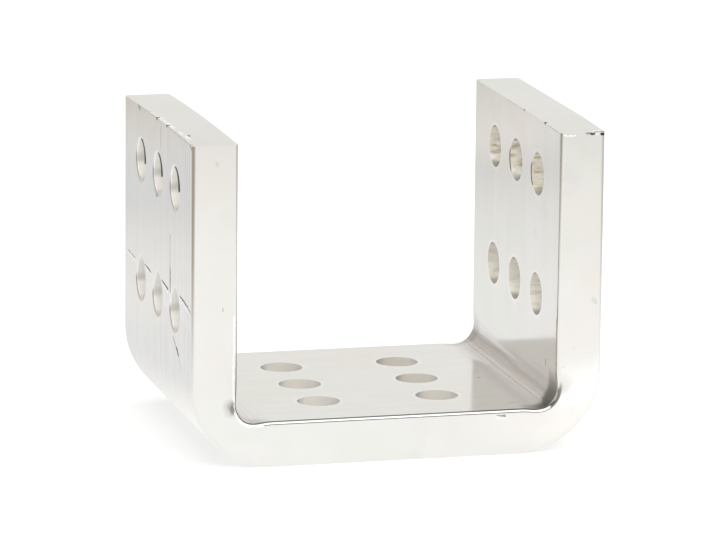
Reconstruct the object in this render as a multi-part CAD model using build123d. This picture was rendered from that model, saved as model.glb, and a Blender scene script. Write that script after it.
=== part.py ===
from build123d import *

import os
from math import cos, radians, sin, sqrt

# U-shaped bracket: one thick flat bar with rolled edges, bent twice and bored through.
# Millimetres. The origin lies on the underside, midway between the legs and midway across the bar.
# The legs rise along +Z and stand apart along X, and the bar's width runs along Y.

# Bar stock
bar_width = 100.0
bar_thickness = 15.0
bar_edge_radius = 1.2        # rolled radius along the four long edges

# Overall form
overall_width = 136.5        # between the outer faces of the two legs
leg_height = 105.5           # nominal, from the underside to a leg's sawn end

# Sawn ends: how far each one is off the nominal height at mid width, and out of square in degrees
left_end_offset = -0.3
left_end_tilt = -0.55        # falls towards the back
right_end_offset = 0.2
right_end_tilt = 0.28        # rises towards the back

# Bends
bend_inner_radius = 7.0
bend_thinning = 2.0          # what the bar loses in thickness at the middle of a bend
bend_bulge = 1.2             # metal pushed out of each side at the inner face
bend_draw_in = 0.8           # each side pulled in at the outer face
bend_steps = 10              # spaces between the sections that shape the sides of one bend

# Holes: the same grid in the floor and in both legs
hole_diameter = 14.0
holes_across = 3
hole_pitch = 25.0            # across the bar's width
hole_rows = 2
row_pitch = 40.0             # along the bar
end_margin = 18.0            # from the upper row's centres to the nominal end of a leg
hole_rim_bevel = 0.7         # breaks each rim in the bar's outer face; the rims in its inner face stay sharp

# Worked out from the sizes above
inner_width = overall_width - 2 * bar_thickness
bend_outer_radius = bar_thickness + bend_inner_radius + bend_thinning / (sqrt(2) - 1)
bend_axis_x = overall_width / 2 - bend_outer_radius
leg_middle_x = (overall_width - bar_thickness) / 2
leg_grid_height = leg_height - end_margin - row_pitch * (hole_rows - 1) / 2
saw_allowance = 10.0         # length beyond a leg's end that the saw takes off
blank_height = leg_height + saw_allowance
overshoot = 1.0              # how far a cutting shape passes the faces that it meets


def u_space(width, bottom, bend_radius):
    """Outline that fills a U of this width from its bottom up, with both lower corners rounded."""
    space = Pos(0, bottom) * Rectangle(width, blank_height, align=(Align.CENTER, Align.MIN))
    return fillet(space.vertices().group_by(Axis.Y)[0], bend_radius)


def keystone(angle):
    """Section of the space that the bar's sides keep to, in a plane through the left bend's axis.

    The angle is 0 degrees at the leg and 90 at the floor. The squeeze peaks midway, where the
    section is widest at the inner face and narrowest at the outer one.
    """
    squeeze = sin(radians(2 * angle)) ** 3
    inner_face = bend_outer_radius - bar_thickness + bend_thinning

    def half_width(distance):
        depth = (distance - inner_face) / (bend_outer_radius - inner_face)
        return bar_width / 2 + squeeze * (bend_bulge * (1 - depth) - bend_draw_in * depth)

    outward = Vector(-cos(radians(angle)), 0, -sin(radians(angle)))
    plane = Plane((-bend_axis_x, 0, bend_outer_radius), x_dir=outward, z_dir=outward.cross(Vector(0, 1, 0)))
    near = bend_outer_radius - bar_thickness - overshoot
    far = bend_outer_radius + overshoot
    corners = [
        (near, -half_width(near)),
        (far, -half_width(far)),
        (far, half_width(far)),
        (near, half_width(near)),
    ]
    return plane * make_face(Polyline(*corners, close=True))


def side_envelope():
    """Space between the bar's two sides, over the left half: straight at the leg and the floor."""
    sections = [keystone(90 * step / bend_steps) for step in range(bend_steps + 1)]
    leg = extrude(sections[0], blank_height, dir=(0, 0, 1))
    floor = extrude(sections[-1], bend_axis_x, dir=(1, 0, 0))
    return leg + loft(sections) + floor


def bent_blank():
    """The bar after bending, with both legs still too long and its long edges rounded."""
    profile = u_space(overall_width, 0, bend_outer_radius)
    profile -= u_space(inner_width, bar_thickness, bend_inner_radius)
    reach = bar_width / 2 + bend_bulge + overshoot
    half = side_envelope()
    blank = extrude(Plane.XZ * profile, reach, both=True) & (half + mirror(half, about=Plane.YZ))
    broad_faces = [face for face in blank.faces() if abs(face.normal_at().Y) < 0.01]
    broad_edges = ShapeList(broad_faces).edges()
    end_edges = blank.faces().sort_by(Axis.Z)[-2:].edges()
    long_edges = broad_edges.filter_by(Axis.Y, reverse=True) - end_edges
    return fillet(long_edges, bar_edge_radius)


def saw_cut(side, height, tilt):
    """What the saw removes above a leg; side is -1 for the left leg and 1 for the right."""
    waste = Box(
        bar_thickness + 2 * overshoot,
        bar_width + 2 * overshoot,
        2 * saw_allowance,
        align=(Align.CENTER, Align.CENTER, Align.MIN),
    )
    return Pos(side * leg_middle_x, 0, height) * Rot(X=tilt) * waste


def hole_grid(plane):
    """Through holes of one wall, around the middle of its grid; local X runs along the bar."""
    bore = Cylinder(hole_diameter / 2, bar_thickness + 2 * overshoot)
    return plane * GridLocations(row_pitch, hole_pitch, hole_rows, holes_across) * bore


def on_outer_face(rim):
    """Whether a hole's rim lies on the underside or on a leg's outer face."""
    middle = rim.arc_center
    return abs(middle.Z) < 0.01 or abs(abs(middle.X) - overall_width / 2) < 0.01


bracket = bent_blank()
bracket -= saw_cut(-1, leg_height + left_end_offset, left_end_tilt)
bracket -= saw_cut(1, leg_height + right_end_offset, right_end_tilt)

floor_plane = Plane((0, 0, bar_thickness / 2))
left_plane = Plane((-leg_middle_x, 0, leg_grid_height), x_dir=(0, 0, 1), z_dir=(-1, 0, 0))
right_plane = Plane((leg_middle_x, 0, leg_grid_height), x_dir=(0, 0, 1), z_dir=(1, 0, 0))
for wall in (floor_plane, left_plane, right_plane):
    bracket -= hole_grid(wall)
outer_rims = bracket.edges().filter_by(GeomType.CIRCLE).filter_by(on_outer_face)
bracket = chamfer(outer_rims, hole_rim_bevel)

os.makedirs("parts", exist_ok=True)
export_step(bracket, "parts/u_bracket.step")
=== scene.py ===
from functools import partial
from math import atan2, cos, pi, radians, sin, sqrt

import bmesh
import bpy
from bpy.props import FloatProperty, FloatVectorProperty, IntProperty, PointerProperty
from mathutils import Matrix, Vector


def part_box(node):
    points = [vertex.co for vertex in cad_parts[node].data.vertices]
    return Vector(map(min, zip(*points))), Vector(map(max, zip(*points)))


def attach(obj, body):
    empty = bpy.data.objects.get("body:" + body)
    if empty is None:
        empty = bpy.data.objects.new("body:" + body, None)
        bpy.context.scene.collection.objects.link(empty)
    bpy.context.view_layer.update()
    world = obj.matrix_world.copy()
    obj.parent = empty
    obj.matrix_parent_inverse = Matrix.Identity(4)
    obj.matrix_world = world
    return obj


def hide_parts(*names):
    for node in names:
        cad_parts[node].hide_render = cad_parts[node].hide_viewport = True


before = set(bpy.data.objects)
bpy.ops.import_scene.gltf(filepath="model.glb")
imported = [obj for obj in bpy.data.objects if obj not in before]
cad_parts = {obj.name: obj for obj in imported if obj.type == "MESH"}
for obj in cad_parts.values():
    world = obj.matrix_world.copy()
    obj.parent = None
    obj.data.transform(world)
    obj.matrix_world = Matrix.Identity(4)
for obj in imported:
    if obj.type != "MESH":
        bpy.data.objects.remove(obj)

bl_info = {
    "name": "U-Shaped Busbar Bracket",
    "version": (1, 0, 0),
    "blender": (4, 5, 0),
    "location": "View3D > Sidebar > U-Bracket",
    "description": "Models a thick plated flat bar bent into a U, with its studio",
    "category": "Add Mesh",
}

LOW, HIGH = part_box("u_bracket")
MM = 0.001
SLACK = 1e-6             # what two places may differ by and still be the same
END_ZONE = 0.002         # the sawn ends lie within this of the legs' nominal height
SAW_ALLOWANCE = 0.010    # length above that height that the saw takes off
OVERSHOOT = 0.002        # how far a drill passes the faces that it meets
BORE_FACETS = 96
RIM_SLACK = 0.00002      # how far a rim's corners may lie off its bore's radius
WALL_SLACK = 0.0001      # and the middles of the facets of its wall
RIM_MERGE = 0.00012      # points of a rim that lie closer than this are merged
LEFT_FACE_END = -0.05    # the left face's plating runs down round the bend to this X

Length = partial(FloatProperty, unit="LENGTH")
Angle = partial(FloatProperty, subtype="ANGLE")
Colour = partial(FloatVectorProperty, size=3, min=0, max=1, subtype="COLOR")


class BarSettings(bpy.types.PropertyGroup):
    width: Length(name="Bar width", description="Width of the flat bar, along Y", default=0.100)
    thickness: Length(name="Bar thickness", description="Thickness of the flat bar", default=0.015)
    edge_radius: Length(
        name="Edge radius", description="Rolled radius along the four long edges", default=0.0012)
    span: Length(
        name="Overall width", description="Between the outer faces of the two legs", default=HIGH.x - LOW.x)
    leg_height: Length(
        name="Leg height", description="From the underside to a leg's sawn end", default=0.1055)


class BendSettings(bpy.types.PropertyGroup):
    inner_radius: Length(name="Inner radius", description="Radius inside each bend", default=0.007)
    thinning: Length(name="Thinning", description="Thickness lost at the middle of a bend", default=0.002)
    bulge: Length(
        name="Bulge", description="Metal pushed out of each side at the inner face", default=0.00112)
    draw_in: Length(name="Draw-in", description="Each side pulled in at the outer face", default=0.0008)
    fall: Length(
        name="Fall", description="How far the inner face falls away at the sides of a bend", default=0.0009)
    fall_width: Length(
        name="Fall width", description="Width along each side in which the inner face falls away",
        default=0.016)
    steps: IntProperty(
        name="Steps", description="Facets round one bend",
        default=30, min=10, max=90)


class SawSettings(bpy.types.PropertyGroup):
    left_offset: Length(
        name="Left end", description="How far the left end is off the leg height", default=-0.0003)
    left_tilt: Angle(
        name="Left end tilt", description="Out of square; negative falls to the back",
        default=radians(-0.55))
    right_offset: Length(
        name="Right end", description="How far the right end is off the leg height", default=0.0002)
    right_tilt: Angle(
        name="Right end tilt", description="Out of square; positive rises to the back",
        default=radians(0.28))
    left_crown: Length(
        name="Left crown", description="How far the left end stands proud at mid width", default=0.00075)
    right_crown: Length(
        name="Right crown", description="How far the right end stands proud at mid width", default=0.0005)


class HoleSettings(bpy.types.PropertyGroup):
    diameter: Length(name="Diameter", description="Bore of every hole", default=0.014)
    across: Length(name="Pitch across", description="Between holes across the bar", default=0.025)
    along: Length(name="Pitch along", description="Between the two rows of a wall", default=0.040)
    end_margin: Length(
        name="End margin", description="From the upper row to the nominal end of a leg", default=0.018)
    outer_rim: Length(
        name="Outer rim", description="Radius that rolls each hole into the outer face", default=0.0008)
    inner_rim: Length(
        name="Inner rim", description="Broken edge of each hole in the inner face", default=0.00006)


class FinishSettings(bpy.types.PropertyGroup):
    plating: Colour(name="Plating", description="Colour of the plated faces", default=(0.885, 0.88, 0.858))
    dark_streaks: Colour(
        name="Dark streaks", description="Colour of the darkest drawing streaks",
        default=(0.79, 0.785, 0.765))
    light_streaks: Colour(
        name="Light streaks", description="Colour of the lightest drawing streaks",
        default=(0.955, 0.95, 0.93))
    sawn: Colour(name="Sawn ends", description="Colour of the two sawn ends", default=(0.898, 0.893, 0.872))
    marks: Colour(
        name="Dark marks", description="Colour of the scratches, burrs and shaded edges",
        default=(0.03, 0.028, 0.025))


def start_fresh():
    """Nothing selected, in object mode."""
    if bpy.context.object and bpy.context.object.mode != "OBJECT":
        bpy.ops.object.mode_set(mode="OBJECT")
    bpy.ops.object.select_all(action="DESELECT")


def open_edit(piece):
    start_fresh()
    piece.select_set(True)
    bpy.context.view_layer.objects.active = piece
    bpy.ops.object.mode_set(mode="EDIT")


def pick(kind, wanted, expect=None):
    """Selects the vertices, edges or faces that pass a test on their place or normal."""
    bpy.ops.mesh.select_mode(type={"verts": "VERT", "edges": "EDGE", "faces": "FACE"}[kind])
    bpy.ops.mesh.select_all(action="DESELECT")
    mesh = bmesh.from_edit_mesh(bpy.context.edit_object.data)
    mesh.normal_update()
    found = [item for item in getattr(mesh, kind) if wanted(item)]
    for item in found:
        item.select_set(True)
    mesh.select_flush_mode()
    bmesh.update_edit_mesh(bpy.context.edit_object.data)
    if not found or expect is not None and len(found) != expect:
        raise RuntimeError(f"{len(found)} {kind} were found where {expect or 'some'} were wanted")


def modify(piece, name, kind, **settings):
    """Adds a modifier with its settings and applies it."""
    bpy.context.view_layer.objects.active = piece
    modifier = piece.modifiers.new(name, kind)
    for label, setting in settings.items():
        setattr(modifier, label, setting)
    bpy.ops.object.modifier_apply(modifier=name)


def near(value, target, slack=SLACK):
    return abs(value - target) < slack


def ends(edge):
    return [vert.co for vert in edge.verts]


def bend_outer_radius(bar, bend):
    return bar.thickness + bend.inner_radius + bend.thinning / (sqrt(2) - 1)


def draw_outline(reach, bottom, radius, top, front, steps, first):
    """An L-shaped run of edges in the plane of the bar's front side: half the floor and one leg."""
    middle = (reach / 2, front, (bottom + top) / 2)
    if not first:
        bpy.ops.mesh.select_all(action="DESELECT")
    bpy.ops.mesh.primitive_plane_add(size=1, location=middle, rotation=(pi / 2, 0, 0))
    if first:
        bpy.ops.object.transform_apply(location=True, rotation=True, scale=True)
        open_edit(bpy.context.object)
        bpy.ops.mesh.select_all(action="SELECT")
    bpy.ops.transform.resize(value=(reach, 1, top - bottom), center_override=middle)
    bpy.ops.mesh.delete(type="ONLY_FACE")

    def spare(edge):
        a, b = ends(edge)
        over = near(a.z, top) and near(b.z, top) and max(a.x, b.x) > reach - SLACK
        return over or near(a.x, 0) and near(b.x, 0) and min(a.z, b.z) < bottom + SLACK

    pick("edges", lambda e: spare(e) and e.is_wire and near(ends(e)[0].y, front))
    bpy.ops.mesh.delete(type="EDGE")
    pick("verts", lambda v: near(v.co.z, bottom) and near(v.co.x, reach), 1)
    bpy.ops.mesh.bevel(offset=radius, offset_type="OFFSET", segments=steps,
                       affect="VERTICES", clamp_overlap=False)


def side_strip(bar, bend, holes, top):
    """One half of the bar's front side: an outer and an inner outline, bridged.

    Above the bend and in the floor, they are cut only on the rows of holes and midway between them."""
    front = -bar.width / 2
    outer = bend_outer_radius(bar, bend)
    axis_x = bar.span / 2 - outer
    inner_x = bar.span / 2 - bar.thickness
    # the inner radius ends before the outer one does, so some inner facets lie on each straight
    straight = round(bend.steps * 0.23)
    draw_outline(bar.span / 2, 0, outer, top, front, bend.steps, first=True)
    draw_outline(inner_x, bar.thickness, bend.inner_radius, top, front,
                 bend.steps - 2 * straight, first=False)

    def on_inner(edge, x=None, z=None):
        return all((x is None or near(co.x, x)) and (z is None or near(co.z, z)) for co in ends(edge))

    pick("edges", lambda e: on_inner(e, x=inner_x), 1)
    bpy.ops.mesh.bisect(plane_co=(0, 0, outer), plane_no=(0, 0, 1))
    pick("edges", lambda e: on_inner(e, z=bar.thickness), 1)
    bpy.ops.mesh.bisect(plane_co=(axis_x, 0, 0), plane_no=(1, 0, 0))
    pick("edges", lambda e: on_inner(e, x=inner_x) and max(co.z for co in ends(e)) < outer + SLACK
         or on_inner(e, z=bar.thickness) and min(co.x for co in ends(e)) > axis_x - SLACK, 2)
    bpy.ops.mesh.subdivide(number_cuts=straight - 1)
    upper_row = bar.leg_height - holes.end_margin
    for height in (upper_row - holes.along, upper_row - holes.along / 2, upper_row):
        pick("edges", lambda e: outer - SLACK < min(co.z for co in ends(e)) < height
             and max(co.z for co in ends(e)) > height, 2)
        bpy.ops.mesh.bisect(plane_co=(0, 0, height), plane_no=(0, 0, 1))
    pick("edges", lambda e: max(co.x for co in ends(e)) < axis_x + SLACK, 2)
    bpy.ops.mesh.bisect(plane_co=(holes.along / 2, 0, 0), plane_no=(1, 0, 0))
    bpy.ops.mesh.select_mode(type="EDGE")
    bpy.ops.mesh.select_all(action="SELECT")
    bpy.ops.mesh.bridge_edge_loops(number_cuts=7, interpolation="LINEAR")
    return bpy.context.object


def strip_steps(bar):
    """Widths of the rows of faces from the bar's side to mid width; the last one ends on the middle of
    the outer holes, so that no edge runs close to a rim."""
    steps = [step / 1000 for step in (2, 1.5, 1.5, 2, 2, 3, 4, 9)]
    return steps + [bar.width / 2 - sum(steps)]


def widen_strip(bar):
    """Extrudes the side strip back to mid width, in steps that are shorter near the side."""
    bpy.ops.mesh.select_all(action="SELECT")
    reached = -bar.width / 2
    for step in strip_steps(bar):
        bpy.ops.mesh.extrude_region_move(TRANSFORM_OT_translate={"value": (0, step, 0)})
        reached += step
        pick("faces", lambda f: near(f.calc_center_median().y, reached) and abs(f.normal.y) > 0.9)
    bpy.ops.mesh.delete(type="FACE")
    pick("faces", lambda f: near(f.calc_center_median().x, 0))
    bpy.ops.mesh.delete(type="FACE")
    bpy.ops.mesh.select_all(action="SELECT")
    bpy.ops.mesh.normals_make_consistent(inside=False)


def bend_place(co, bar, bend):
    """Angle round the bend, 0 at the leg and 90 degrees at the floor, and depth from its inner face."""
    outer = bend_outer_radius(bar, bend)
    x, z = co.x - (bar.span / 2 - outer), outer - co.z
    if x <= 0 or z <= 0:
        return 0.0, 0.0
    inner_face = outer - bar.thickness + bend.thinning
    depth = (sqrt(x * x + z * z) - inner_face) / (outer - inner_face)
    return atan2(z, x), depth


def push(piece, name, direction, reach, weights):
    """Moves vertices along an axis by a Displace modifier; weights hold a share of the reach for each."""
    group = piece.vertex_groups.new(name=name)
    for index, weight in weights.items():
        if weight > 0:
            group.add([index], min(weight, 1.0), "REPLACE")
    modify(piece, name, "DISPLACE", vertex_group=name, direction=direction, mid_level=0, strength=reach)
    piece.vertex_groups.remove(piece.vertex_groups[name])


def eased(value, start, end):
    """0 before start, 1 after end and a smooth rise between."""
    share = min(max((value - start) / (end - start), 0.0), 1.0)
    return share * share * (3 - 2 * share)


def squeeze_bend(piece, bar, bend):
    """What bending does to the section: the side swells at the inner face and draws in at the outer,
    and the inner face falls away towards the side."""
    start_fresh()
    bulge, draw_in, fall_x, fall_z = {}, {}, {}, {}
    for vert in piece.data.vertices:
        angle, depth = bend_place(vert.co, bar, bend)
        if angle == 0:
            continue
        squeeze = sin(2 * angle) ** 3
        from_side = vert.co.y + bar.width / 2
        by_side = 1 - eased(from_side, bar.edge_radius, 10 * bar.edge_radius)
        bulge[vert.index] = squeeze * by_side * min(max(1 - depth, 0), 1) ** 1.5
        draw_in[vert.index] = squeeze * by_side * max(depth, 0)
        by_face = 1 - eased(depth, 0, 0.6)
        reach = max(0, 1 - from_side / bend.fall_width)
        fall = squeeze ** 0.6 * by_face * reach ** 2.5
        fall_x[vert.index] = fall * cos(angle)
        fall_z[vert.index] = fall * sin(angle)
    push(piece, "bulge", "Y", -bend.bulge, bulge)
    push(piece, "draw in", "Y", bend.draw_in, draw_in)
    push(piece, "fall away", "X", bend.fall, fall_x)
    push(piece, "fall down", "Z", -bend.fall, fall_z)


def round_long_edges(piece, bar, top):
    open_edit(piece)

    def long_edge(edge):
        if len(edge.link_faces) != 2 or any(near(f.calc_center_median().z, top) for f in edge.link_faces):
            return False
        sides = sorted(abs(face.normal.y) for face in edge.link_faces)
        return sides[0] < 0.5 and sides[1] > 0.9

    pick("edges", long_edge)
    bpy.ops.mesh.bevel(offset=bar.edge_radius, offset_type="OFFSET", segments=6, profile=0.5,
                       affect="EDGES", clamp_overlap=False)


def mirror_twice(piece):
    start_fresh()
    modify(piece, "other halves", "MIRROR", use_axis=(True, True, False), use_clip=True,
           merge_threshold=2 * SLACK)
    open_edit(piece)
    bpy.ops.mesh.select_all(action="SELECT")
    bpy.ops.mesh.remove_doubles(threshold=SLACK)
    bpy.ops.mesh.normals_make_consistent(inside=False)


def saw_ends(piece, bar, holes, saw):
    open_edit(piece)
    for side, offset, tilt in ((-1, saw.left_offset, saw.left_tilt), (1, saw.right_offset, saw.right_tilt)):
        pick("faces", lambda f: side * f.calc_center_median().x > holes.along / 2)
        bpy.ops.mesh.bisect(plane_co=(0, 0, bar.leg_height + offset), plane_no=(0, -sin(tilt), cos(tilt)),
                            use_fill=True, clear_outer=True)


def on_sawn_end(face, bar):
    return face.normal.z > 0.9 and face.calc_center_median().z > bar.leg_height - END_ZONE


def crown_ends(piece, bar, saw):
    """Each sawn end stands a little proud at mid width, but no higher than the CAD model's top."""
    open_edit(piece)
    reach = bar.width / 2
    for step in strip_steps(bar):
        reach -= step
        for place in (-reach, reach):
            pick("faces", lambda f: on_sawn_end(f, bar))
            bpy.ops.mesh.bisect(plane_co=(0, place, 0), plane_no=(0, 1, 0))
    start_fresh()
    for side, name, crown in ((-1, "left crown", saw.left_crown), (1, "right crown", saw.right_crown)):
        weights = {}
        for vert in piece.data.vertices:
            if side * vert.co.x > 0 and vert.co.z > bar.leg_height - END_ZONE:
                rise = crown * (1 - (2 * vert.co.y / bar.width) ** 2)
                weights[vert.index] = min(rise, HIGH.z - vert.co.z) / crown
        push(piece, name, "Z", crown, weights)


def grid_height(bar, holes):
    """Middle of each leg's grid of holes."""
    return bar.leg_height - holes.end_margin - holes.along / 2


def hole_places(bar, holes):
    """Middle and axis of each of the eighteen bores."""
    leg_x = (bar.span - bar.thickness) / 2
    grid_z = grid_height(bar, holes)
    for j in (-1, 0, 1):
        for k in (-0.5, 0.5):
            yield Vector((k * holes.along, j * holes.across, bar.thickness / 2)), "Z"
            for side in (-1, 1):
                yield Vector((side * leg_x, j * holes.across, grid_z + k * holes.along)), "X"


def on_bore(co, middle, axis, bar, holes, slack):
    """Whether a place lies on the wall of the bore with this middle and axis."""
    offset = co - middle
    keep = Vector((0, 1, 1)) if axis == "X" else Vector((1, 1, 0))
    return near((offset * keep).length, holes.diameter / 2, slack) and offset.length < bar.thickness


def bore_holes(piece, bar, holes):
    start_fresh()
    drills = []
    places = list(hole_places(bar, holes))
    for middle, axis in places:
        bpy.ops.mesh.primitive_cylinder_add(
            vertices=BORE_FACETS, radius=holes.diameter / 2,
            depth=bar.thickness + 2 * OVERSHOOT, location=middle,
            rotation=(0, pi / 2, 0) if axis == "X" else (0, 0, 0))
        drills.append(bpy.context.object)
        bpy.context.object.select_set(False)
    for drill in drills:
        drill.select_set(True)
    bpy.context.view_layer.objects.active = drills[0]
    bpy.ops.object.join()
    drill = bpy.context.object
    start_fresh()
    modify(piece, "bores", "BOOLEAN", object=drill, operation="DIFFERENCE", solver="EXACT")
    bpy.data.objects.remove(drill)

    def rim_side(edge):
        """1 for a rim on the bar's outer face, -1 for one on its inner face, 0 for another edge."""
        if len(edge.link_faces) != 2:
            return 0
        a, b = edge.link_faces
        if abs(a.normal.dot(b.normal)) > 0.2:
            return 0
        for middle, axis in places:
            if all(on_bore(co, middle, axis, bar, holes, RIM_SLACK) for co in ends(edge)):
                co = ends(edge)[0]
                if axis == "Z":
                    return 1 if co.z < middle.z else -1
                return 1 if abs(co.x) > abs(middle.x) else -1
        return 0

    open_edit(piece)
    # the faces' own edges meet each rim beside its corners, which a bevel would fold over
    pick("edges", lambda e: rim_side(e) != 0)
    bpy.ops.mesh.remove_doubles(threshold=RIM_MERGE)
    for side, width, segments in ((1, holes.outer_rim, 5), (-1, holes.inner_rim, 2)):
        pick("edges", lambda e: rim_side(e) == side)
        bpy.ops.mesh.bevel(offset=width, offset_type="OFFSET", segments=segments, profile=0.5,
                           affect="EDGES", clamp_overlap=False)


def finish_surface(piece):
    """Even normals on the flats, with the sawn edges left crisp."""
    start_fresh()
    piece.select_set(True)
    bpy.context.view_layer.objects.active = piece
    bpy.ops.object.shade_smooth_by_angle(angle=radians(32))
    modify(piece, "even normals", "WEIGHTED_NORMAL", mode="FACE_AREA", weight=80, keep_sharp=True)


def note_places(piece, bar, bend):
    """Keeps three values on each vertex: path along the bar, depth from its inner face, and bending."""
    outer = bend_outer_radius(bar, bend)
    axis_x = bar.span / 2 - outer
    middle_radius = outer - bar.thickness / 2
    inner_x = bar.span / 2 - bar.thickness
    layers = {name: piece.data.attributes.new(name, "FLOAT", "POINT")
              for name in ("along", "depth", "bend")}
    for vert in piece.data.vertices:
        side = 1 if vert.co.x > 0 else -1
        place = Vector((abs(vert.co.x), vert.co.y, vert.co.z))
        angle, depth = bend_place(place, bar, bend)
        if angle:
            along = axis_x + middle_radius * (pi / 2 - angle)
        elif place.z > outer - SLACK:
            along = axis_x + middle_radius * pi / 2 + place.z - outer
            depth = (place.x - inner_x) / bar.thickness
        else:
            along, depth = place.x, 1 - place.z / bar.thickness
        layers["along"].data[vert.index].value = side * along
        layers["depth"].data[vert.index].value = min(max(depth, 0.0), 1.0)
        layers["bend"].data[vert.index].value = sin(2 * angle)


def give_finishes(piece, bar, holes):
    """Plating all over, then other finishes for the sawn ends and the bore walls."""
    finishes = (
        drawn_plating("plating inside", INNER_DARK, burrs=INNER_BURR_SHADES, drawing=0.5),
        sawn_metal(), bored_metal(),
        drawn_plating("plating of the sides", SIDE_DARK, SIDE_HIGHLIGHTS, edged=True),
        drawn_plating("plating of the left face", LEFT_FACE_DARK, LEFT_FACE_HIGHLIGHTS))
    for finish in finishes:
        piece.data.materials.append(finish)
    places = list(hole_places(bar, holes))

    def sawn(face):
        return on_sawn_end(face, bar)

    def bored(face):
        co = face.calc_center_median()
        return any(abs(face.normal.x if axis == "X" else face.normal.z) < 0.5
                   and on_bore(co, middle, axis, bar, holes, WALL_SLACK) for middle, axis in places)

    def side(face):
        return abs(face.normal.y) > 0.3 and not bored(face)

    def left_face(face):
        far_left = face.normal.x < -0.3 and face.calc_center_median().x < LEFT_FACE_END
        return far_left and not bored(face) and not side(face)

    open_edit(piece)
    for index, test in enumerate((sawn, bored, side, left_face), 1):
        pick("faces", test)
        piece.active_material_index = index
        bpy.ops.object.material_slot_assign()
    start_fresh()


class OBJECT_OT_plated_u_bracket(bpy.types.Operator):
    """Model the bent, bored and plated flat bar"""
    bl_idname = "object.plated_u_bracket"
    bl_label = "Plated U-Bracket"
    bl_options = {"REGISTER", "UNDO"}

    def execute(self, context):
        bar, bend = context.scene.u_bar, context.scene.u_bend
        saw, holes = context.scene.u_saw, context.scene.u_holes
        start_fresh()
        top = bar.leg_height + SAW_ALLOWANCE
        piece = side_strip(bar, bend, holes, top)
        widen_strip(bar)
        round_long_edges(piece, bar, top)
        squeeze_bend(piece, bar, bend)
        mirror_twice(piece)
        piece.name = piece.data.name = "plated_u_bracket"
        saw_ends(piece, bar, holes, saw)
        crown_ends(piece, bar, saw)
        bore_holes(piece, bar, holes)
        finish_surface(piece)
        note_places(piece, bar, bend)
        for add_effect in EFFECTS:
            add_effect()
        give_finishes(piece, bar, holes)
        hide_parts("u_bracket")
        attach(piece, "root")
        return {"FINISHED"}


# The finishes are node trees, written as arithmetic on the values in them.

def feed(tree, socket, operand):
    """Joins a socket to a value in the tree, or sets its own."""
    if isinstance(operand, Value):
        tree.links.new(operand.socket, socket)
    elif socket.type == "RGBA":
        socket.default_value = (*operand, 1)
    else:
        socket.default_value = operand


def add_node(tree, kind, *operands, **settings):
    """A shader node with its settings; the operands feed its first inputs."""
    node = tree.nodes.new("ShaderNode" + kind)
    for name, setting in settings.items():
        setattr(node, name, setting)
    for socket, operand in zip(node.inputs, operands):
        feed(tree, socket, operand)
    return node


def made(tree, kind, output, *operands, **settings):
    """What a new node gives at one of its outputs."""
    return Value(tree, add_node(tree, kind, *operands, **settings).outputs[output])


def math(tree, operation, *operands, clamp=False):
    return made(tree, "Math", 0, *operands, operation=operation, use_clamp=clamp)


def mix_colour(tree, factor, first, second, blend="MIX"):
    node = add_node(tree, "Mix", data_type="RGBA", blend_type=blend, clamp_factor=True)
    for socket, operand in zip((node.inputs[0], node.inputs[6], node.inputs[7]), (factor, first, second)):
        feed(tree, socket, operand)
    return Value(tree, node.outputs[2])


def operator(operation, swapped=False):
    """One of a value's operators, which adds a Math node."""
    def combine(value, other=0.0):
        operands = (other, value) if swapped else (value, other)
        return math(value.tree, operation, *operands)
    return combine


class Value:
    """A value, vector or colour in a node tree; what works on it adds nodes to the tree."""

    def __init__(self, tree, socket):
        self.tree = tree
        self.socket = socket

    __add__, __radd__ = operator("ADD"), operator("ADD", swapped=True)
    __sub__, __rsub__ = operator("SUBTRACT"), operator("SUBTRACT", swapped=True)
    __mul__, __truediv__, __pow__ = operator("MULTIPLY"), operator("DIVIDE"), operator("POWER")
    __lt__, __gt__, __abs__ = operator("LESS_THAN"), operator("GREATER_THAN"), operator("ABSOLUTE")

    def smooth(self, start, end, low=0.0, high=1.0):
        """A smooth run from low, before start, to high, after end."""
        return made(self.tree, "MapRange", 0, self, start, end, low, high, interpolation_type="SMOOTHSTEP")

    def ramp(self, *stops):
        """A colour ramp through (position, colour or grey) stops."""
        node = add_node(self.tree, "ValToRGB", self)
        elements = node.color_ramp.elements
        while len(elements) < len(stops):
            elements.new(1.0)
        for element, (place, colour) in zip(elements, stops):
            element.position = place
            element.color = (colour, colour, colour, 1) if isinstance(colour, float) else (*colour, 1)
        return Value(self.tree, node.outputs["Color"])

    def painted(self, factor, colour, blend="MIX"):
        return mix_colour(self.tree, factor, self, colour, blend)

    def parts(self):
        return [Value(self.tree, socket) for socket in add_node(self.tree, "SeparateXYZ", self).outputs]

    def vector(self, operation, *operands):
        """A Vector Math node on this vector."""
        output = "Value" if operation in ("LENGTH", "DISTANCE", "DOT_PRODUCT") else "Vector"
        return made(self.tree, "VectorMath", output, self, *operands, operation=operation)

    def scaled(self, factor):
        node = add_node(self.tree, "VectorMath", self, operation="SCALE")
        feed(self.tree, node.inputs["Scale"], factor)
        return Value(self.tree, node.outputs["Vector"])

    def noise(self, scale, detail=2.0, roughness=0.5):
        """Noise over this place, which is first stretched along all the axes or each of them."""
        stretch = scale if isinstance(scale, tuple) else (scale, scale, scale)
        node = add_node(self.tree, "TexNoise", self.vector("MULTIPLY", stretch))
        for label, setting in (("Scale", 1.0), ("Detail", detail), ("Roughness", roughness)):
            node.inputs[label].default_value = setting
        return Value(self.tree, node.outputs["Fac"])


def joined(tree, x, y, z):
    return made(tree, "CombineXYZ", 0, x, y, z)


def attribute(tree, name):
    return made(tree, "Attribute", "Fac", attribute_name=name)


def nodes_of(owner):
    owner.use_nodes = True
    tree = owner.node_tree
    tree.nodes.clear()
    return tree


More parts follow.
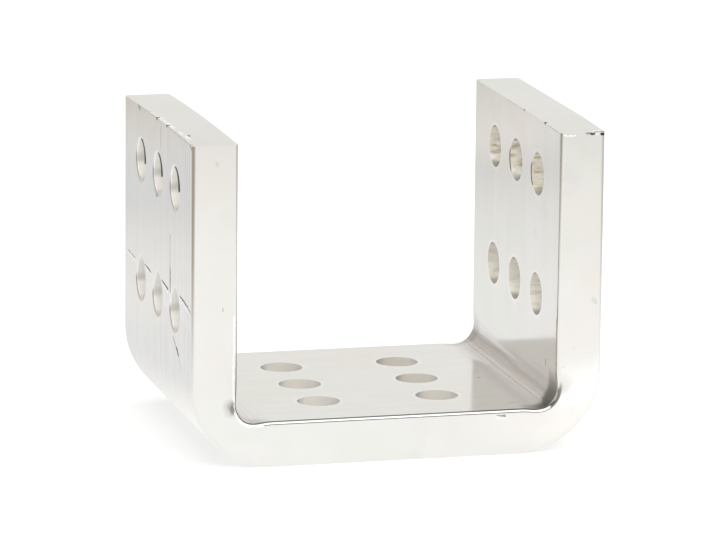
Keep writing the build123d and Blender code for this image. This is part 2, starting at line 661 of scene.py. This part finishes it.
def effect(name, vectors, values, results):
    """A node group with named inputs, some vectors and some values, and named results, all values."""
    tree = bpy.data.node_groups.new(name, "ShaderNodeTree")
    for labels, side, kind in ((vectors, "INPUT", "NodeSocketVector"), (values, "INPUT", "NodeSocketFloat"),
                               (results, "OUTPUT", "NodeSocketFloat")):
        for label in labels:
            tree.interface.new_socket(name=label, in_out=side, socket_type=kind)
    given = {socket.name: Value(tree, socket) for socket in tree.nodes.new("NodeGroupInput").outputs}
    return tree, given, tree.nodes.new("NodeGroupOutput").inputs


def apply(tree, group, **operands):
    node = add_node(tree, "Group", node_tree=bpy.data.node_groups[group])
    for label, operand in operands.items():
        feed(tree, node.inputs[label], operand)
    return {socket.name: Value(tree, socket) for socket in node.outputs}


# effects that are two noises each: scale, detail and roughness
NOISES = {
    # lines left along the bar by drawing; Place holds the path along the bar in its Z
    "drawn streaks": {"Bands": ((140, 140, 5), 3, 0.6), "Lines": ((1100, 1100, 12), 2, 0.6)},
    # fine creases across the bar where it is bent, with the same Place
    "bend creases": {"Creases": ((14, 60, 1300), 3, 0.7), "Blotches": ((45, 60, 260), 2, 0.5)},
    "saw lines": {"Lines": ((1700, 40, 1), 2, 0.7), "Bands": ((260, 30, 1), 2, 0.5)},
}


def add_noises():
    for name, noises in NOISES.items():
        tree, given, result = effect(name, ("Place",), (), noises)
        for label, settings in noises.items():
            feed(tree, result[label], given["Place"].noise(*settings))


def add_handling_marks():
    """Cloudy stains, smudges and sparse specks."""
    tree, given, result = effect("handling marks", ("Place",), (), ("Tint", "Smudge", "Specks"))
    place = given["Place"]
    feed(tree, result["Tint"], place.noise(26, 3, 0.55))
    feed(tree, result["Smudge"], place.noise(75, 4, 0.6).smooth(0.52, 0.75))
    cells = add_node(tree, "TexVoronoi", place)
    cells.inputs["Scale"].default_value = 150
    speck = Value(tree, cells.outputs["Distance"]).smooth(0.075, 0.03)
    chosen = Value(tree, cells.outputs["Color"]).parts()[0] > 0.80
    feed(tree, result["Specks"], speck * chosen)


def add_stroke():
    """A straight mark with rounded ends and a ragged, soft edge. Before is the strongest mark so far, Run
    goes from the start to the end, and Gauge is Run over its squared length."""
    tree, given, result = effect("stroke", ("Place", "Start", "Run", "Gauge"),
                                 ("Before", "Radius", "Strength"), ("Mask",))
    offset = given["Place"].vector("SUBTRACT", given["Start"])
    share = math(tree, "ADD", offset.vector("DOT_PRODUCT", given["Gauge"]), 0.0, clamp=True)
    away = offset.vector("DISTANCE", given["Run"].scaled(share))
    mask = (away / given["Radius"]).smooth(1.35, 0.55)
    feed(tree, result["Mask"], math(tree, "MAXIMUM", given["Before"], mask * given["Strength"]))


def add_rim_burr_shade():
    """Painted shade: a dark sliver just outside or inside a hole's rim, beside a burr, thickest in one
    direction.
    """
    tree, given, result = effect("rim burr", ("Place", "Centre", "Toward"), ("Radius", "Width"), ("Mask",))
    offset = given["Place"].vector("SUBTRACT", given["Centre"])
    distance = offset.vector("LENGTH")
    facing = offset.vector("DOT_PRODUCT", given["Toward"]) / distance
    reach = given["Width"] * facing.smooth(0.80, 0.97)
    past = abs(distance - given["Radius"]) - reach
    feed(tree, result["Mask"], past.smooth(0.0001, -0.0001))


def add_hole_stain():
    """A faint halo round each hole of the two by three grid; Row is the distance from the nearer row."""
    holes = bpy.context.scene.u_holes
    radius = holes.diameter / 2
    tree, given, result = effect("hole stain", (), ("Across", "Row"), ("Halo",))
    column = math(tree, "ROUND", given["Across"] / holes.across)
    column = math(tree, "MINIMUM", math(tree, "MAXIMUM", column, -1), 1)
    across = given["Across"] - column * holes.across
    distance = joined(tree, across, given["Row"], 0).vector("LENGTH")
    feed(tree, result["Halo"], distance.smooth(radius + 0.0018, radius + 0.0001))


def add_bore_rings():
    """Turning marks in a drilled bore; Depth runs along its axis."""
    tree, given, result = effect("bore rings", ("Place",), ("Depth",), ("Rings", "Bands"))
    drift = given["Place"].noise(160, 2) * 0.0006
    depth = given["Depth"] + drift
    feed(tree, result["Rings"], joined(tree, depth, 0, 0).noise((2600, 1, 1), 3, 0.7))
    feed(tree, result["Bands"], given["Place"].noise(240, 2))


EFFECTS = (add_noises, add_handling_marks, add_stroke, add_rim_burr_shade, add_hole_stain, add_bore_rings)


def on_left_face(*marks):
    """Marks on the left leg's outer face, each given as Y, Z, Y, Z, radius and strength."""
    return tuple((-68.25, *mark[:2], -68.25, *mark[2:]) for mark in marks)


# marks that the photograph shows, in millimetres: X, Y, Z of both ends, radius and strength
TORN_LEFT = (
    (-67.9, 1.5, 105.75, -67.9, 0.9, 105.75, 0.74, 0.97),
    (-67.85, -12.8, 105.8, -67.85, -13.5, 105.8, 0.7, 0.97),
    (-68, -46.5, 105.4, -68, -49.6, 104.6, 0.6, 0.5),
)
TORN_RIGHT = (
    (53.3, -8.1, 105.8, 53.3, -8.7, 105.8, 0.45, 0.8),
    (53.3, -32, 105.8, 53.3, -32.8, 105.8, 0.55, 0.95),
)
LEFT_FACE_DARK = TORN_LEFT + on_left_face(
    # scribed line across the face, its groove drawn as painted shade
    (44.6, 53.3, 33.8, 52.8, 0.24, 0.55),
    (18.5, 53.6, 9.5, 52.9, 0.3, 0.75),
    (-6.9, 53.6, -15.7, 52.4, 0.38, 0.85),
    (-33.1, 53.8, -44, 52.6, 0.32, 0.85),
    (-44, 52.6, -48.7, 51.2, 0.26, 0.8),
    # scratches down it
    (-18.4, 71, -18.6, 60, 0.36, 0.5),
    (-18.6, 60, -18.9, 52.6, 0.6, 0.75),
    (-23.2, 38.3, -30.5, 34.5, 0.36, 0.5),
    (-28.5, 35.6, -31, 34, 0.7, 0.8),
    (-31, 34, -34.4, 29.5, 0.45, 0.22),
    (1.6, 80.2, 1.6, 80, 0.6, 0.6),
    (-4.6, 103.5, -4.6, 97.5, 0.35, 0.35),
    (-40, 101.5, -40, 30, 0.35, 0.1),
    (-42.6, 102.5, -42.6, 44, 0.3, 0.13),
    (-45.4, 103.5, -45.4, 36, 0.35, 0.15),
    (28.6, 105.1, 26.5, 104.3, 0.6, 0.55),
) + (
    # along its sawn edge
    (-68.2, 30, 105.3, -68.2, 2, 105.8, 0.16, 0.35),
    (-68.2, -16, 105.9, -68.2, -46, 105.7, 0.2, 0.45),
)
LEFT_FACE_HIGHLIGHTS = on_left_face(
    # painted highlights just below the scribed line
    (45.5, 52.7, 33, 51.6, 0.22, 0.8),
    (19, 52.7, 8.5, 51.8, 0.22, 0.8),
    (-6.4, 52.6, -16, 51.4, 0.24, 0.8),
    (-32.4, 52.8, -46, 50.6, 0.24, 0.8),
    # painted highlights on a faint crease between the lower holes
    (17, 49.6, 8, 48.2, 1.3, 0.14),
    (-8, 48.4, -17, 46.8, 1.3, 0.16),
    (-33, 48.2, -47, 46, 1.2, 0.1),
)
SAWN_DARK = TORN_LEFT + TORN_RIGHT + (
    (-67.9, 14.5, 105.6, -67.9, 12.5, 105.5, 0.35, 0.3),
    (-65.3, -31.4, 105.8, -65.3, -33.3, 105.8, 0.45, 0.95),
    (63.4, -49.9, 105.2, 64.6, -49.8, 105.3, 0.38, 0.9),
    (65.2, -49.6, 105.4, 66, -49.4, 105.5, 0.45, 0.97),
    (66.9, -49.2, 105.5, 67.8, -49, 105.5, 0.5, 0.97),
)
SAWN_GLINTS = (
    # painted glints along the torn sawn edges
    (-67.5, 12, 105.7, -66.9, -18, 105.9, 0.65, 0.6),
    (-67, -26, 105.9, -66.3, -38.5, 105.85, 0.5, 0.6),
    (64, -49.4, 105.6, 68, -47, 105.6, 0.8, 0.8),
)
SIDE_DARK = (
    (33.3, -50, 13.4, 36, -50, 13.1, 0.22, 0.5),
    (35, -50, 13.2, 35.9, -50, 12.9, 0.34, 0.6),
    (-58.1, -50, 53.1, -58, -50, 52.2, 0.22, 0.4),
    (54.7, -50.2, 28.1, 57.2, -50.2, 28.3, 0.25, 0.1),
    (55, -50.3, 26.1, 57.5, -50.3, 26.6, 0.25, 0.12),
    (65.2, -50, 50.5, 66, -50, 49.3, 0.7, 0.1),
    (-60.3, -50, 100, -60, -50, 99.4, 0.6, 0.1),
    (61.6, -50, 105.2, 63.2, -50, 105, 0.25, 0.5),
    # painted dark reflection on the bulge of the front side at the left bend
    (-55.8, -50.2, 20.9, -55.3, -50.4, 19.1, 2.1, 0.13),
    (-55.6, -50.2, 20.8, -55.1, -50.4, 18.9, 1.35, 0.28),
    (-55.3, -50.2, 20.6, -54.9, -50.4, 18.8, 0.75, 0.55),
    # burr at the right end's corner
    (63.4, -50, 104.9, 64.6, -50, 105, 0.32, 0.9),
    (66.9, -50, 104.9, 68, -49.8, 104.6, 0.45, 0.97),
)
SIDE_HIGHLIGHTS = (
    # painted highlights under the torn burr at the right end's front edge
    (54.4, -50, 104.7, 58.2, -50, 104.5, 0.24, 0.55),
    (65, -50, 104.8, 66.2, -50, 104.8, 0.26, 0.35),
    # painted highlight down the left leg's rolled inner edge and round its bend
    (-54.5, -50, 50, -54.5, -50, 24, 0.19, 0.6),
    (-54.4, -50.1, 24, -54, -50.74, 18.6, 0.42, 0.7),
    (-54, -50.74, 18.6, -52.3, -50.9, 15.9, 0.5, 0.85),
    (-52.3, -50.9, 15.9, -49.6, -50.74, 14.2, 0.55, 0.85),
    (-49.6, -50.74, 14.2, -45, -50.1, 13.9, 0.5, 0.7),
    # painted highlights beside the nick in the floor's front edge and the dent in the left leg
    (33, -50, 12.5, 36.4, -50, 12.2, 0.15, 0.35),
    (-58.6, -50, 53.4, -58.5, -50, 52, 0.25, 0.15),
)
INNER_DARK = TORN_RIGHT + (
    (53.25, -8, 105.7, 53.25, 12, 105.75, 0.22, 0.15),
    (53.25, -36, 105.55, 53.25, -48, 105.25, 0.25, 0.2),
    # painted shade along the rolled front edge of the right leg's inner face
    (53.25, -49, 24, 53.25, -49, 44, 0.45, 0.35),
    (40.5, -3.5, 15, 40.5, -3.7, 15, 0.5, 0.45),
    (53.25, -37.3, 28.1, 53.25, -37.4, 26.3, 0.35, 0.65),
    (40, -40.5, 15, 44, -40.2, 15.1, 0.35, 0.25),
    (49.6, -24, 17, 48.8, -27, 16.4, 0.35, 0.35),
    (50.4, -26, 17.6, 49.8, -29.5, 17.1, 0.35, 0.35),
    (48.9, -45.5, 16.4, 47.8, -47, 15.8, 0.45, 0.55),
)
# centres of the holes with a burr at their inner rim, shown as painted shade
INNER_BURR_SHADES = ((53.25, 0, 87.5), (53.25, -25, 87.5))
# painted shade under a burr at the outer rim of the left leg's upper holes: Y, and top and bottom from the
# row's middle
LEFT_RIM_SHADES = ((25, 6.6, -2.8), (0, 6.4, -2.4), (-25, 6.8, -2.6))

WHITE = (1.0, 1.0, 1.0)
# colour of the painted shade in the bends' creases
CREASE_SHADE = (0.45, 0.41, 0.38)
BEND_START = 0.0414      # path along the bar's middle to a bend
BEND_PATH = 0.0304       # and round it


def strokes(place, marks):
    """The strongest of several strokes at a place that wanders a little, for ragged edges."""
    tree = place.tree
    wander = joined(tree, *[place.noise(scale, 1) for scale in (650, 720, 800)])
    place = place.vector("ADD", wander.vector("SUBTRACT", (0.5, 0.5, 0.5)).scaled(0.0009))
    mask = 0.0
    for mark in marks:
        start, end = Vector(mark[:3]) * MM, Vector(mark[3:6]) * MM
        radius, strength = mark[6:]
        run = end - start
        mask = apply(tree, "stroke", Before=mask, Place=place, Start=start, Run=run,
                     Gauge=run / run.length_squared, Radius=MM * radius, Strength=strength)["Mask"]
    return mask


def new_finish(name):
    """A material with a Principled shader; returns it, its tree, the shader's inputs and the place."""
    material = bpy.data.materials.new(name)
    tree = nodes_of(material)
    shader = add_node(tree, "BsdfPrincipled")
    add_node(tree, "OutputMaterial", Value(tree, shader.outputs[0]))
    return material, tree, shader.inputs, made(tree, "TexCoord", "Object")


def bump(tree, shader, height, distance, strength):
    node = add_node(tree, "Bump")
    for label, operand in (("Strength", strength), ("Distance", distance), ("Height", height)):
        feed(tree, node.inputs[label], operand)
    tree.links.new(node.outputs[0], shader["Normal"])


def edge_shade(tree, x, y, z, depth):
    """A dark line along the rolled inner edges of the floor, the left bend and the lower left leg."""
    bar, bend = bpy.context.scene.u_bar, bpy.context.scene.u_bend
    swell = attribute(tree, "bend") ** 3.0 * bend.bulge
    inward = swell + bar.width / 2 - abs(y)
    low = z.smooth(0.026, 0.018)
    start = math(tree, "MULTIPLY_ADD", low, 0.00028, 0.00002)
    shade = math(tree, "MULTIPLY_ADD", low, 0.26, z.smooth(0.052, 0.024, 0.0, 0.50))
    shade = shade * inward.smooth(start, start + 0.00012) * inward.smooth(0.00090, 0.00075)
    return shade * depth.smooth(0.12, 0.09) * x.smooth(0.050, 0.045)


def drawn_plating(name, dark_marks, highlight_marks=(), burrs=(), drawing=1.0, edged=False):
    """Bright plating over drawn bar: faint streaks along it, stains, scratches and the bends' creases, with
    painted highlights and painted shade at edges, burrs, marks and bends.
    """
    scene = bpy.context.scene
    bar, holes, finish = scene.u_bar, scene.u_holes, scene.u_finish
    half_width, half_row = bar.width / 2, holes.along / 2
    material, tree, shader, place = new_finish(name)
    x, y, z = place.parts()
    depth = attribute(tree, "depth")
    along = attribute(tree, "along")
    bar_place = joined(tree, y, depth * bar.thickness, along)
    streaks = apply(tree, "drawn streaks", Place=bar_place)
    marks = apply(tree, "handling marks", Place=place)
    broad = abs(y).smooth(half_width - 0.0001, half_width - 0.0011)

    # streaks on the broad faces, weaker on the sides, then tints, smudges and the holes' halos
    swing = (streaks["Bands"] - 0.5) * 0.16 + (streaks["Lines"] - 0.5) * 0.14
    swing = swing * (broad * (0.8 * drawing) + 0.2)
    metal = (swing + 0.5).ramp(
        (0.38, finish.dark_streaks), (0.5, finish.plating), (0.62, finish.light_streaks))
    tint = marks["Tint"].ramp((0.32, (0.965, 0.985, 0.955)), (0.5, WHITE), (0.68, (1.0, 0.968, 0.958)))
    colour = metal.painted(1.0, tint, "MULTIPLY")
    colour = colour.painted(marks["Smudge"] * 0.35, (0.83, 0.825, 0.81))
    leg_row = abs(z - grid_height(bar, holes)) - half_row
    floor_row = abs(x) - half_row
    low = z.smooth(bar.thickness + 0.003, bar.thickness + 0.001)
    row = leg_row * (1.0 - low) + floor_row * low
    halo = apply(tree, "hole stain", Across=y, Row=row)["Halo"]
    colour = colour.painted(halo * 0.7, (1.0, 0.965, 0.945))

    # inside of the bends: a pinkish half by the floor and a brown one by the leg, and creases along them
    # with painted highlights and painted shade
    inner_bend = attribute(tree, "bend") * depth.smooth(0.2, 0.05) * broad
    creases = apply(tree, "bend creases", Place=bar_place)
    turn = (abs(along) - BEND_START) / BEND_PATH
    ridge = turn - 0.445
    turn = turn + (creases["Blotches"] - 0.5) * 0.22
    # a tone round each bend: pinkish by the floor, darkest brown just past the middle, pale again by the
    # leg
    toning = turn.ramp(
        (0.10, (0.90, 0.89, 0.87)), (0.28, (0.885, 0.85, 0.825)), (0.44, (0.87, 0.83, 0.80)),
        (0.50, (0.76, 0.715, 0.68)), (0.60, (0.585, 0.55, 0.52)), (0.68, (0.70, 0.675, 0.655)),
        (0.84, (0.87, 0.86, 0.85)))
    dull = inner_bend * 0.95
    colour = colour.painted(dull, toning)
    # painted highlights and painted shade along the creases
    line = inner_bend * creases["Creases"].smooth(0.54, 0.66)
    colour = colour.painted(line * 0.35, (0.97, 0.93, 0.90))
    line = inner_bend * creases["Creases"].smooth(0.46, 0.34)
    colour = colour.painted(line * 0.40, CREASE_SHADE)
    # painted highlight along a crease line across the bend, and painted shade beside it
    crest_highlight = inner_bend * abs(ridge).smooth(0.016, 0.006)
    colour = colour.painted(crest_highlight * 0.5, (1.0, 0.97, 0.94))
    trough_shade = inner_bend * abs(ridge + 0.026).smooth(0.014, 0.006)
    colour = colour.painted(trough_shade * 0.35, CREASE_SHADE)
    # painted dark reflection in the inner bends by the sides, strongest at the front right
    spread = turn.smooth(0.42, 0.55) * 0.0035 + abs(y)
    front_right = (y < 0.0) * (x > 0.0)
    corner = inner_bend * spread.smooth(0.0425, 0.0470) * creases["Blotches"].smooth(0.2, 0.5, 0.75, 1.0)
    corner = corner * (front_right * 0.65 + 0.35)
    colour = colour.painted(corner * 0.97, (0.16, 0.165, 0.15))

    dark = strokes(place, dark_marks)
    # painted shade beside the burrs at the inner rims of these holes
    for centre in burrs:
        burr = apply(tree, "rim burr", Place=place, Centre=Vector(centre) * MM, Toward=(0, 0.985, -0.17),
                     Radius=holes.diameter / 2 + 0.0003, Width=0.0008)["Mask"]
        dark = math(tree, "MAXIMUM", dark, burr * 0.96)
    colour = colour.painted(marks["Specks"] * 0.22, (0.45, 0.42, 0.38))
    shader["Metallic"].default_value = 1
    # painted highlights: white, and not metallic
    if highlight_marks:
        light = strokes(place, highlight_marks)
        colour = colour.painted(light, WHITE)
        feed(tree, shader["Metallic"], 1.0 - light)
    if edged:
        colour = colour.painted(edge_shade(tree, x, y, z, depth), finish.marks)
    feed(tree, shader["Base Color"], colour.painted(dark, finish.marks))

    rough = 0.10 + streaks["Lines"] * 0.05
    rough = rough + marks["Smudge"] * 0.05
    rough = rough + dull * 0.16
    feed(tree, shader["Roughness"], rough + dark * 0.4)
    height = streaks["Lines"] * 0.3 + creases["Creases"] * inner_bend * 0.8
    bump(tree, shader, height, 0.00003, 0.6)
    return material


def sawn_metal():
    """Sawn ends under the plating: a duller, slightly green grey with fine saw lines, and painted glints
    along their torn edges.
    """
    finish = bpy.context.scene.u_finish
    material, tree, shader, place = new_finish("sawn plated metal")
    lines = apply(tree, "saw lines", Place=place)
    marks = apply(tree, "handling marks", Place=place)
    tone = lines["Lines"] * 0.5 + lines["Bands"] * 0.5
    colour = tone.ramp((0.3, (0.855, 0.85, 0.825)), (0.5, finish.sawn), (0.7, (0.94, 0.935, 0.915)))
    tint = marks["Tint"].ramp((0.35, (0.98, 0.995, 0.96)), (0.5, WHITE), (0.65, (1.0, 0.975, 0.97)))
    colour = colour.painted(1.0, tint, "MULTIPLY")
    colour = colour.painted(marks["Specks"] * 0.2, (0.5, 0.48, 0.42))
    # painted glints, broken into specks
    glint_specks = place.noise(1100, 1).smooth(0.46, 0.56)
    light = strokes(place, SAWN_GLINTS) * glint_specks
    colour = colour.painted(light, (1.0, 1.0, 0.99))
    feed(tree, shader["Base Color"], colour.painted(strokes(place, SAWN_DARK), finish.marks))
    feed(tree, shader["Metallic"], 0.86 - light * 0.8)
    feed(tree, shader["Roughness"], 0.26 + lines["Bands"] * 0.12)
    bump(tree, shader, lines["Lines"], 0.00004, 0.5)
    return material


def bored_metal():
    """Bore walls: satin and warmer than the faces, with turning rings and bands, painted shade at the tips
    and under the left leg's upper rims, painted light and shade down the left leg's bores, and painted
    glints.
    """
    scene = bpy.context.scene
    bar, holes = scene.u_bar, scene.u_holes
    middle_z = grid_height(bar, holes)
    material, tree, shader, place = new_finish("bored plated metal")
    x, y, z = place.parts()
    in_leg = z > bar.thickness + 0.0005
    in_floor = 1.0 - in_leg
    left = x < -0.06
    rings = apply(tree, "bore rings", Place=place, Depth=in_leg * x + in_floor * z)

    def from_row(value, middle):
        """Distance along the bar from the nearer row of holes."""
        offset = value - middle
        return offset - math(tree, "SIGN", offset) * (holes.along / 2)

    up = from_row(z, middle_z)
    share = (in_leg * up + in_floor * from_row(x, 0.0)) / holes.diameter + 0.5
    share = share + (rings["Bands"] - 0.5) * 0.10
    # floor bores: painted shade at both ends of the visible wall, darkest at the left end
    floor_tone = share.ramp(
        (0.02, (0.34, 0.36, 0.38)), (0.16, (0.62, 0.62, 0.61)), (0.30, (0.84, 0.80, 0.73)),
        (0.65, (0.89, 0.86, 0.79)), (0.88, (0.95, 0.92, 0.86)), (0.98, (0.84, 0.83, 0.81)))
    rows = (x * 10.0 + 0.5).ramp((0.4, WHITE), (0.6, (0.95, 0.94, 0.935)))
    floor_tone = floor_tone.painted(1.0, rows, "MULTIPLY")
    # left leg's bores: painted light low down, painted shade across the middle and at the tips
    left_light_and_shade = share.ramp(
        (0.02, (0.74, 0.71, 0.67)), (0.08, (0.96, 0.92, 0.88)), (0.32, (1.0, 0.98, 0.95)),
        (0.42, (0.72, 0.71, 0.66)), (0.50, (0.74, 0.735, 0.69)), (0.60, (0.90, 0.895, 0.88)),
        (0.93, (0.93, 0.925, 0.915)), (1.0, (0.80, 0.80, 0.79)))
    stacked = place.noise((150, 60, 620), 2, 0.6).ramp(
        (0.34, (0.55, 0.47, 0.35)), (0.44, (0.80, 0.74, 0.62)), (0.52, (0.91, 0.87, 0.77)),
        (0.64, (1.0, 0.985, 0.94)))
    # right leg's bores: painted shade at the top and bottom tips, and painted glints nearer the outer face
    tip_shade = share.ramp((0.03, 0.45), (0.12, 1.0), (0.88, 1.0), (0.97, 0.5))
    glint = place.noise((200, 100, 900), 1).smooth(0.57, 0.62) * x.smooth(0.0548, 0.0556)
    stacked = stacked.painted(glint, WHITE)
    upper = z > middle_z
    calm = 0.65 - upper * 0.65
    stacked = stacked.painted(calm, (0.96, 0.93, 0.87))
    right_tone = stacked.painted(1.0, tip_shade, "MULTIPLY")
    colour = floor_tone.painted(in_leg, right_tone).painted(left, left_light_and_shade)
    turned = rings["Rings"].ramp((0.32, (0.94, 0.935, 0.91)), (0.60, WHITE))
    colour = colour.painted(1.0, turned, "MULTIPLY")

    # painted shade on the walls of the left leg's upper bores, just inside the outer face, under a burr at
    # the rim
    rim_shades = None
    for centre, top, bottom in LEFT_RIM_SHADES:
        across = y - centre * MM
        limit = across * 0.435 - up * 0.086
        inside = x + bar.span / 2 - limit
        inside = inside - up * 0.03
        band = inside.smooth(-0.00042, -0.00022) * inside.smooth(0.0005, 0.0002)
        window = up.smooth(bottom * MM - 0.0002, bottom * MM + 0.0003) \
            * up.smooth(top * MM + 0.0006, top * MM - 0.0004)
        rim_shade = band * window * (abs(across) < 0.009)
        rim_shades = math(tree, "MAXIMUM", rim_shades, rim_shade) if rim_shades else rim_shade
    colour = colour.painted(rim_shades * left * upper * 0.95, scene.u_finish.marks)
    feed(tree, shader["Base Color"], colour)
    shader["Metallic"].default_value = 0.15
    feed(tree, shader["Roughness"], 0.34 + rings["Rings"] * 0.2)
    bump(tree, shader, rings["Rings"], 0.00012, 0.7)
    return material


class StudioSettings(bpy.types.PropertyGroup):
    floor_size: Length(name="Floor", description="Side of the square floor", default=12.0)
    softbox_size: Length(name="Softbox", description="Side of the overhead softbox", default=2.25)
    softbox_height: Length(
        name="Softbox distance", description="From the bracket to the softbox", default=1.5)
    softbox_power: FloatProperty(
        name="Softbox power", description="Power of the overhead softbox",
        default=26.0, unit="POWER")
    view_azimuth: Angle(
        name="Camera azimuth", description="Turn of the camera round the bracket", default=radians(-14.80))
    view_elevation: Angle(
        name="Camera elevation", description="Height of the camera as an angle", default=radians(11.96))
    view_roll: Angle(
        name="Camera roll", description="Tilt of the camera about its own axis", default=radians(0.59))
    view_distance: Length(
        name="Camera distance", description="From the camera to the point that it looks at", default=1.825)
    view_across: Length(
        name="Aim across", description="From the origin to the camera's aim, to its right", default=-0.0023)
    view_up: Length(
        name="Aim up", description="From the origin to the camera's aim, upwards in the picture",
        default=0.0514)


def pale_floor():
    material = bpy.data.materials.new("pale floor")
    tree = nodes_of(material)
    paper = made(tree, "BsdfDiffuse", 0, (0.5, 0.5, 0.5))
    glow = made(tree, "Emission", 0, WHITE, 0.56)
    seen = made(tree, "AddShader", 0, paper, glow)
    # what the metal shows of the table: a painted pool of light in front, painted shadows behind the
    # bracket, and the table's end on the left
    place = made(tree, "TexCoord", "Object")
    pool = place.vector("DISTANCE", (0.06, -0.20, 0)).ramp(
        (0.00, (1.04, 1.04, 1.02)), (0.12, (1.02, 1.02, 1.00)), (0.28, (0.985, 0.975, 0.945)),
        (0.40, (0.905, 0.89, 0.875)), (0.50, (0.855, 0.845, 0.83)), (0.57, (0.80, 0.79, 0.775)),
        (0.64, (0.725, 0.705, 0.69)), (0.71, (0.84, 0.81, 0.785)), (1.0, (0.55, 0.53, 0.50)))
    across = place.parts()[0]
    pool = pool.painted(across.smooth(-0.12, -0.45), (0.42, 0.36, 0.30))
    pool = pool.painted(across.smooth(0.20, 0.45), (0.62, 0.60, 0.57))
    # painted spots of light in front and painted shadows behind, seen only by the metal
    for centre, reach, core, tone in (
            ((0.088, -0.078, 0), 0.058, 0.012, (1.15, 1.15, 1.13)),
            ((0.118, -0.120, 0), 0.060, 0.030, (1.30, 1.30, 1.28)),
            ((-0.052, -0.090, 0), 0.055, 0.010, (1.03, 1.03, 1.02)),
            ((-0.115, 0.110, 0), 0.130, 0.030, (0.83, 0.83, 0.83)),
            ((-0.200, 0.430, 0), 0.120, 0.050, (0.725, 0.735, 0.74)),
            ((0.013, 0.150, 0), 0.090, 0.030, (0.90, 0.89, 0.88)),
            ((0.165, -0.430, 0), 0.140, 0.060, (0.97, 0.948, 0.918))):
        pool = pool.painted(place.vector("DISTANCE", centre).smooth(reach, core), tone)
    mirrored = made(tree, "Emission", 0, pool)
    mix = made(tree, "MixShader", 0, made(tree, "LightPath", "Is Glossy Ray"), seen, mirrored)
    add_node(tree, "OutputMaterial", mix)
    return material


def room_light():
    """An even pale room; to the metal, a pale band low down all round and a dim room over it."""
    world = bpy.data.worlds.new("studio room")
    tree = nodes_of(world)
    x, y, z = made(tree, "TexCoord", "Generated").parts()
    behind = mix_colour(tree, x.smooth(-0.35, 0.35), (0.66, 0.64, 0.61), (0.865, 0.86, 0.83))
    band = mix_colour(tree, y.smooth(-0.4, 0.6), (0.27, 0.265, 0.26), behind)
    room = band.painted(z.smooth(0.38, 0.62), (0.13, 0.13, 0.13))
    mirrored = made(tree, "Background", 0, room)
    even = made(tree, "Background", 0, (0.8, 0.8, 0.8))
    mix = made(tree, "MixShader", 0, made(tree, "LightPath", "Is Glossy Ray"), even, mirrored)
    add_node(tree, "OutputWorld", mix)
    bpy.context.scene.world = world


SENSOR_WIDTH = 36
PICTURE_WIDTH = 705      # pixels
FOCAL_LENGTH = 5504      # pixels


def add_camera(studio):
    """At the photograph's angle, with its focal length."""
    azimuth, elevation, roll = studio.view_azimuth, studio.view_elevation, studio.view_roll
    back = Vector((sin(azimuth) * cos(elevation), -cos(azimuth) * cos(elevation), sin(elevation)))
    right = Vector((cos(azimuth), sin(azimuth), 0))
    up = back.cross(right)
    turned_right = right * cos(roll) + up * sin(roll)
    turned_up = up * cos(roll) - right * sin(roll)
    place = right * studio.view_across + up * studio.view_up + back * studio.view_distance
    start_fresh()
    bpy.ops.object.camera_add(location=place)
    camera = bpy.context.object
    camera.name = "photo_camera"
    camera.matrix_world = Matrix((
        (turned_right.x, turned_up.x, back.x, place.x),
        (turned_right.y, turned_up.y, back.y, place.y),
        (turned_right.z, turned_up.z, back.z, place.z),
        (0, 0, 0, 1)))
    camera.data.sensor_fit = "HORIZONTAL"
    camera.data.sensor_width = SENSOR_WIDTH
    camera.data.lens = SENSOR_WIDTH * FOCAL_LENGTH / PICTURE_WIDTH
    camera.data.clip_end = 30
    bpy.context.scene.camera = camera


class OBJECT_OT_pale_studio(bpy.types.Operator):
    """Add the pale floor, the soft light and the camera"""
    bl_idname = "object.pale_studio"
    bl_label = "Pale Studio"
    bl_options = {"REGISTER", "UNDO"}

    def execute(self, context):
        studio = context.scene.u_studio
        start_fresh()
        bpy.ops.mesh.primitive_plane_add(size=studio.floor_size, location=(0, 0, 0))
        floor = context.object
        floor.name = "studio_floor"
        floor.data.materials.append(pale_floor())
        height_angle = radians(66)
        aim = Vector((0.15, -cos(height_angle), sin(height_angle))).normalized()
        bpy.ops.object.light_add(type="AREA", location=aim * studio.softbox_height)
        lamp = context.object
        lamp.name = "front_softbox"
        lamp.rotation_euler = aim.to_track_quat("Z", "Y").to_euler()
        lamp.data.shape = "SQUARE"
        lamp.data.size = studio.softbox_size
        lamp.data.energy = studio.softbox_power
        room_light()
        add_camera(studio)
        context.scene.view_settings.view_transform = "Standard"
        return {"FINISHED"}


class VIEW3D_PT_u_bracket(bpy.types.Panel):
    bl_label = "U-Bracket"
    bl_space_type = "VIEW_3D"
    bl_region_type = "UI"
    bl_category = "U-Bracket"

    def draw(self, context):
        layout = self.layout
        for name in SETTINGS:
            box = layout.box()
            settings = getattr(context.scene, name)
            for prop in settings.bl_rna.properties:
                if prop.identifier not in ("rna_type", "name"):
                    box.prop(settings, prop.identifier)
        layout.operator("object.plated_u_bracket")
        layout.operator("object.pale_studio")


SETTINGS = {"u_bar": BarSettings, "u_bend": BendSettings, "u_saw": SawSettings, "u_holes": HoleSettings,
            "u_finish": FinishSettings, "u_studio": StudioSettings}
CLASSES = (*SETTINGS.values(), OBJECT_OT_plated_u_bracket, OBJECT_OT_pale_studio, VIEW3D_PT_u_bracket)


def register():
    for cls in CLASSES:
        bpy.utils.register_class(cls)
    for name, group in SETTINGS.items():
        setattr(bpy.types.Scene, name, PointerProperty(type=group))


def unregister():
    for name in SETTINGS:
        delattr(bpy.types.Scene, name)
    for cls in reversed(CLASSES):
        bpy.utils.unregister_class(cls)


def main():
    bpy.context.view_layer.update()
    register()
    bpy.ops.object.plated_u_bracket()
    bpy.ops.object.pale_studio()


if __name__ == "__main__":
    main()
